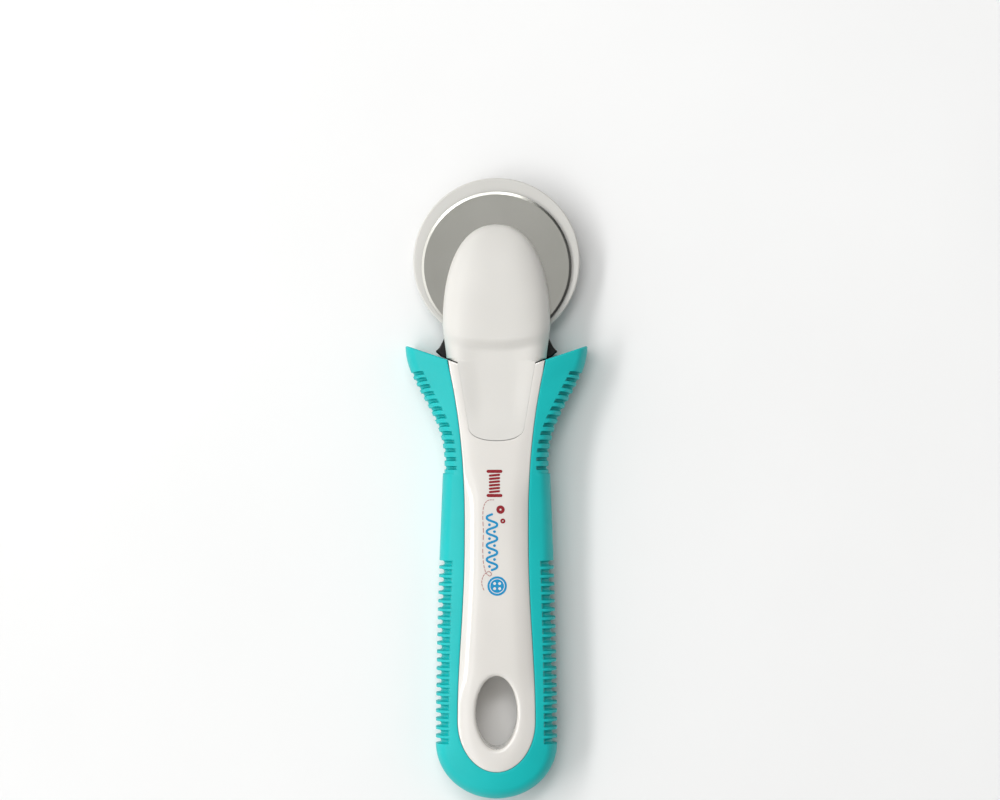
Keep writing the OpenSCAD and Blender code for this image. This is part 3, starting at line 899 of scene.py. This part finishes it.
def cover_loops():
    """Sections of the cover across its length: its face from left to right, then its hollow."""
    loops = []
    face_steps, under_steps = 33, 12
    for y in cover_rows():
        w = max(dome_w(y), 1e-3)
        hollow_w, hollow_z, rim = cover_under(y, w)
        top = []
        for i in range(face_steps + 1):
            x = w * sin(pi * (i / face_steps - 0.5))
            top.append((x, y, max(cover_z(x, y, w), rim + 0.02)))
        loop = [(-w, y, rim + 0.25)] + top + [(w, y, rim + 0.25), (w - 0.02 * w, y, rim)]
        for i in range(under_steps + 1):
            a = pi * i / under_steps
            loop.append((hollow_w * cos(a), y, rim + (hollow_z - rim) * sin(a) ** 0.7))
        loops.append(loop + [(-w + 0.02 * w, y, rim)])
    return loops


cover = add_object("head_cover_dome", *loft(cover_loops()))
place(cover, "handle", WHITE_COVER, "white_cover", "head_cover")


# ---------------------------------------------------------------- blade

BEVEL_R = BLADE_R - 0.75    # where the ground rim starts
BLADE_HOLE_R, BURR = 4.0, 0.03
EDGE = (0.02, 0.012)        # depth and half height of the cutting edge's own bevel


def blade_profile():
    """Half section of the blade as (radius, height)."""
    low, high = BLADE_Z
    mid = (low + high) / 2
    return [(BLADE_HOLE_R, low + BURR), (BLADE_HOLE_R + BURR, low), (BEVEL_R, low),
            (BLADE_R - EDGE[0], mid - EDGE[1]), (BLADE_R, mid),
            (BLADE_R - EDGE[0], mid + EDGE[1]), (BEVEL_R, high),
            (BLADE_HOLE_R + BURR, high), (BLADE_HOLE_R, high - BURR)]


blade = add_object("blade_disc", *revolve(blade_profile(), (0, HUB_Y), 256), sharp=4)
place(blade, "cutting_blade", BLADE_FACE, "blade_steel", "blade")
blade.data.materials.append(BLADE_RIM)
for polygon in blade.data.polygons:
    middle = polygon.center
    if hypot(middle.x, middle.y - HUB_Y * MM) > (BEVEL_R + 0.01) * MM:
        polygon.material_index = 1


# ---------------------------------------------------------------- back shell and core

def back_ring(d, y_end):
    """Outline of the spine widened by d."""
    half = [((SPINE_TAIL_W + d) * cos(radians(a)),
             SPINE_ARC_Y - (SPINE_ARC_Y - SPINE_END_Y + d) * sin(radians(a)))
            for a in range(87, -1, -6)]
    half += [(spine_w(y) + d, y) for y in (mix(SPINE_ARC_Y, y_end, i / 40) for i in range(1, 41))]
    return [(0, SPINE_END_Y - d)] + both_sides(half)


def stem_slot(r):
    """Slot for the slider's stem, as long as the guard's travel."""
    return slot_outline(r, SLIDER_Y - 1.4 - TRAVEL, SLIDER_Y + 1.4)


SLIDER_Y = 14           # middle of the thumb slider at rest
TRAVEL = 9              # of the guard and its slider, back along Y
SCREWS = [(-10.5, 28), (10.5, 28), (-9, -46), (9, -46)]
LIP = 0.1               # rounding of edges that hardly show
TUBE_WALL = 1.6         # wall round the hang hole

pocket_low, pocket_high = SLIDER_Y - 9 - TRAVEL, SLIDER_Y + 9
pocket = [(-7, pocket_low), (7, pocket_low), (7, pocket_high), (-7, pocket_high)]
hang_hole = oval(HOLE_A, HOLE_B, HOLE_Y)
tube = oval(HOLE_A + TUBE_WALL, HOLE_B + TUBE_WALL, HOLE_Y)
heads = [circle(x, y, 2.7) for x, y in SCREWS]
back = add_object("back_shell_plate", *joined([
    plate("pad", [back_ring(1, CORE_END_Y), pocket, hang_hole] + heads, 0, PAD_Z, 0.45),
    plate("floor", [back_ring(0.6, CORE_END_Y), hang_hole, stem_slot(2.7)], PAD_Z, FLOOR_Z, LIP),
    plate("tube", [tube, hang_hole], FLOOR_Z - 0.05, SPLIT_Z - 0.05, LIP)]), flat=True)
place(back, "handle", WHITE_SHELL, "white_shell", "back_shell")


def mouth_wall(side):
    """Wall of the core along one wing, seen at the mouth."""
    outer = [(side * (grip_w(y) - SKIN), y) for y in
             (mix(WAIST_Y, CORE_END_Y, i / 16) for i in range(17))]
    inner = [(x - side * 1.8, y) for x, y in reversed(outer)]
    corner = [(side * (MOUTH_W - 0.2), y) for y in (CORE_END_Y, CORE_END_Y - 2)]
    return plate("wall", [outer + corner + inner[3:]], FLOOR_Z, 12.2, LIP)


walls = add_object("core_walls", *joined([mouth_wall(-1), mouth_wall(1)]), flat=True)
place(walls, "handle", WHITE_SHELL, "white_shell")


# ---------------------------------------------------------------- chassis, guard, nut and slider

chassis_low, chassis_high = box_mm("chassis")
nut_low, nut_high = box_mm("hub_nut")
slider_low, slider_high = box_mm("guard_slider")

half_chassis = [(6, -53), (10, -50), (10, 20), (14.6, 28), (14.6, MOUTH_Y + 0.2),
                (16.6, MOUTH_Y + 1.0), (18.4, MOUTH_Y + 2.6), (17.2, MOUTH_Y + 3.7),
                (16.1, MOUTH_Y + 5.8), (15.2, MOUTH_Y + 8), (13.6, HUB_Y - 12)]
half_chassis += circle(0, HUB_Y, 13, 24, -8, 98)
chassis = add_object("chassis_frame", *plate(
    "frame", [rounded(both_sides(half_chassis), 0.12), circle(0, HUB_Y, 4.45), stem_slot(3.1)]
    + [circle(x, y, 3) for x, y in SCREWS], chassis_low[2], chassis_high[2], 0.45), flat=True)
place(chassis, "handle", BLACK, "black_plastic", "chassis")

# The guard is a disc with a stem, which has two notches for the detent leaf
GUARD_R = guard_high[0]
GUARD_Y = guard_high[1] - GUARD_R
STEM_W, STEM_END_Y = 7, guard_low[1]
stem_angle = -atan2((GUARD_R ** 2 - STEM_W ** 2) ** 0.5, STEM_W) * 180 / pi
guard_outline = circle(0, GUARD_Y, GUARD_R, 192, stem_angle, 180 - 2 * stem_angle - 0.01)
notches = [(x, y) for y in (5, 14) for x, y in circle(STEM_W + 0.4, y, 1, 10, 246, -132)]
guard_outline += [(-STEM_W, STEM_END_Y), (STEM_W, STEM_END_Y)] + notches
guard = add_object("guard_disc", *plate(
    "guard", [guard_outline, slot_outline(6.3, HUB_Y, HUB_Y + TRAVEL),
              circle(0, SLIDER_Y, 1.3)], guard_low[2], guard_high[2], 0.4), flat=True)
place(guard, "sliding_guard", GUARD_PLASTIC, "milky_guard", "guard")

KNURLS, KNURL_STEPS, KNURL_DEPTH, NUT_R = 24, 8, 0.5, 9
NUT_FACE_Z = 1.3        # where the knurled rim starts
knurled = []
for i in range(KNURLS * KNURL_STEPS):
    a = 2 * pi * i / (KNURLS * KNURL_STEPS)
    r = NUT_R - KNURL_DEPTH * max(0.0, cos(KNURLS * a)) ** 0.6
    knurled.append((r * cos(a), HUB_Y + r * sin(a)))
hexagon = circle(0, HUB_Y, 4.65, 6)
nut_face = [circle(0, HUB_Y, 8.2, 96), circle(0, HUB_Y, 2.8)]
nut = add_object("hub_nut_knurled", *joined([
    plate("rim", [knurled, hexagon], NUT_FACE_Z, nut_high[2], 0.3),
    plate("face", nut_face, nut_low[2], NUT_FACE_Z, 0.3)]), flat=True)
place(nut, "knurled_nut", BLACK, "black_plastic", "hub_nut")


def bar(half_x, y, half_y, z0, z1, r):
    """Bar across the middle line, with rounded edges."""
    return plate("bar", [[(-half_x, y - half_y), (half_x, y - half_y),
                          (half_x, y + half_y), (-half_x, y + half_y)]], z0, z1, r)


THUMB_PITCH = 2.3       # from rib to rib on the slider
SLIDER_PAD = (0.9, 2.1)
slider = add_object("guard_slider_ribbed", *joined(
    [bar(6, SLIDER_Y, 8, *SLIDER_PAD, 0.3),
     plate("stem", [slot_outline(2.3, SLIDER_Y - 1, SLIDER_Y + 1)],
           SLIDER_PAD[1], slider_high[2], LIP)]
    + [bar(5.6, SLIDER_Y + i * THUMB_PITCH, 0.5, slider_low[2], SLIDER_PAD[0] + 0.2, 0.25)
       for i in range(-3, 4)]), flat=True)
place(slider, "sliding_guard", BLACK, "black_plastic", "guard_slider")


# ---------------------------------------------------------------- hardware kept from the CAD

for material, nodes in (
        (ZINC, ("hub_bolt", "hub_bushing", "nut_insert", "slider_screw", "chassis_screws",
                "casing_screws", "locating_pins", "spring_rivets")),
        (SPRING, ("detent_spring", "wave_washer")),
        (NYLON, ("blade_washer",))):
    for node in nodes:
        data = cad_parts[node].data
        data.materials.clear()
        data.materials.append(material)


# ---------------------------------------------------------------- printed sewing motif

INK_H = 0.04            # how proud the ink stands
INK_DEPTH = 0.06        # how far it reaches into the spine
INK_STEP = 0.4          # longest step along a line of ink
OVERPRINT = 0.02        # how far a second ink stands above the first


def ink_z(x, y):
    """Height of the ink's face."""
    return spine_z(x, y) + INK_H


def ribbon(points, width):
    """Strip of ink along a line on the spine, with rounded ends."""
    path = [np.array(points[0], float)]
    for p in points[1:]:
        a, b = path[-1], np.array(p, float)
        count = max(1, int(np.linalg.norm(b - a) / INK_STEP))
        path += [a + (b - a) * i / count for i in range(1, count + 1)]
    first, last = path[1] - path[0], path[-1] - path[-2]
    first, last = first / np.linalg.norm(first), last / np.linalg.norm(last)
    half = width / 2
    ends = [(1.0, 0.15), (0.7, 0.7), (0.35, 0.94)]  # (distance beyond the end, width)
    widths = [w for _, w in ends] + [1.0] * len(path) + [w for _, w in reversed(ends)]
    path = ([path[0] - first * half * d for d, _ in ends] + path
            + [path[-1] + last * half * d for d, _ in reversed(ends)])
    loops = []
    for k, p in enumerate(path):
        ahead = path[min(k + 1, len(path) - 1)] - path[max(k - 1, 0)]
        side = np.array([ahead[1], -ahead[0]]) / np.linalg.norm(ahead) * half * widths[k]
        top = [(*(p + side * t), ink_z(*(p + side * t))) for t in (-1, -0.5, 0, 0.5, 1)]
        low = [(x, y, z - INK_DEPTH - INK_H) for x, y, z in (top[-1], top[0])]
        loops.append(top + low)
    return loft(loops)


def disc(x, y, outer, inner=0.0, raised=0.0, steps=40):
    """Flat ring of ink; a full disc has a tiny hole at its centre."""
    loops = []
    for k in range(steps + 1):
        a = 2 * pi * k / steps
        line = []
        for r in (max(inner, 0.01), mix(inner, outer, 0.35), mix(inner, outer, 0.7), outer):
            px, py = x + r * cos(a), y + r * sin(a)
            line.append((px, py, ink_z(px, py) + raised))
        low = [(px, py, z - INK_DEPTH - INK_H - raised) for px, py, z in (line[-1], line[0])]
        loops.append(line + low)
    return loft(loops, start=False, end=False)


def ink_material(name, colour):
    """Matt printing ink, slightly uneven."""
    material, tree, shader, where = principled(name, colour, 0.45, Specular_IOR_Level=0.2)
    pale = [mix(c, 1, 0.03) for c in colour]
    tint(tree, shader, noise(tree, where, 2200, 3), [(0.35, colour), (0.75, pale)])
    return material


RED_INK = ink_material("red_ink", (0.25, 0.002, 0.01))
BLUE_INK = ink_material("blue_ink", (0.001, 0.25, 0.5))
THREAD_INK = ink_material("thread_ink", (0.42, 0.2, 0.19))
PALE_INK = ink_material("pale_ink", (0.72, 0.71, 0.68))


def ink(name, material, parts):
    """Prints one piece of the motif on the spine."""
    place(add_object(name, *joined(parts)), "handle", material, "white_shell")


SPOOL_X, SPOOL_TOP, SPOOL_LOW = -0.6, 5.2, -2.0
spool = [ribbon([(SPOOL_X - 1.9, y), (SPOOL_X + 1.9, y)], 0.95) for y in (SPOOL_TOP, SPOOL_LOW)]
spool += [ribbon([(SPOOL_X - 1.35, y - 0.12), (SPOOL_X + 1.35, y + 0.12)], 0.68)
          for y in (mix(SPOOL_LOW + 1.15, SPOOL_TOP - 1.15, i / 5) for i in range(6))]
buttons = [disc(1.2, -6.2, 1.25, 0.3), disc(1.9, -9.6, 0.75, 0.2)]
ink("ink_spool_and_buttons", RED_INK, spool + buttons)

TRIM_X, TRIM_Y0, TRIM_Y1, TRIM_PITCH, TRIM_W = -1.35, -7.6, -24.2, 4.15, 1.55
TRIM_STEPS = 112
DOT_R, DOT_OUT = 0.42, 0.75     # dots of the trim and holes of the button, from the middle
trim, dots = [], []
for i in range(TRIM_STEPS + 1):
    y = mix(TRIM_Y0, TRIM_Y1, i / TRIM_STEPS)
    wave = sin(2 * pi * (y - TRIM_Y0) / TRIM_PITCH)
    trim.append((TRIM_X + TRIM_W * wave * (1.25 - 0.25 * wave * wave), y))
for i in range(7):
    y = TRIM_Y0 - TRIM_PITCH * (i / 2 + 0.75)
    dots.append(disc(TRIM_X + (DOT_OUT if i % 2 else -DOT_OUT), y, DOT_R, steps=20))
BUTTON = (0.2, -29.0)
ink("ink_trim_and_button", BLUE_INK, [ribbon(trim, 0.7)] + dots + [disc(*BUTTON, 2.9)])
holes = [disc(BUTTON[0] + x, BUTTON[1] + y, DOT_R, raised=OVERPRINT, steps=20)
         for x in (-DOT_OUT, DOT_OUT) for y in (-DOT_OUT, DOT_OUT)]
ink("ink_button_holes", PALE_INK, holes + [disc(*BUTTON, 2.25, 2.05, raised=OVERPRINT)])


def curve_through(points, steps=12):
    """Smooth line through points."""
    out = []
    pts = [points[0]] + points + [points[-1]]
    for a, b, c, d in zip(pts, pts[1:], pts[2:], pts[3:]):
        for i in range(steps):
            t = i / steps
            out.append(tuple(0.5 * (2 * b[k] + (c[k] - a[k]) * t
                                    + (2 * a[k] - 5 * b[k] + 4 * c[k] - d[k]) * t ** 2
                                    + (3 * b[k] - a[k] - 3 * c[k] + d[k]) * t ** 3)
                             for k in (0, 1)))
    return out + [points[-1]]


thread = curve_through([
    (-0.8, -3.3), (-2.6, -3.5), (-3.8, -5.2), (-4.1, -8.5), (-3.9, -13), (-4.1, -18), (-3.9, -22),
    (-3.2, -24.9), (-2.0, -26.0), (-1.5, -25.3), (-2.5, -24.7), (-3.9, -26.0), (-4.4, -28.2),
    (-3.6, -30.6)])
dashes = [ribbon(thread[i:i + 4], 0.24) for i in range(0, len(thread) - 4, 5)]
ink("ink_thread", THREAD_INK, dashes)
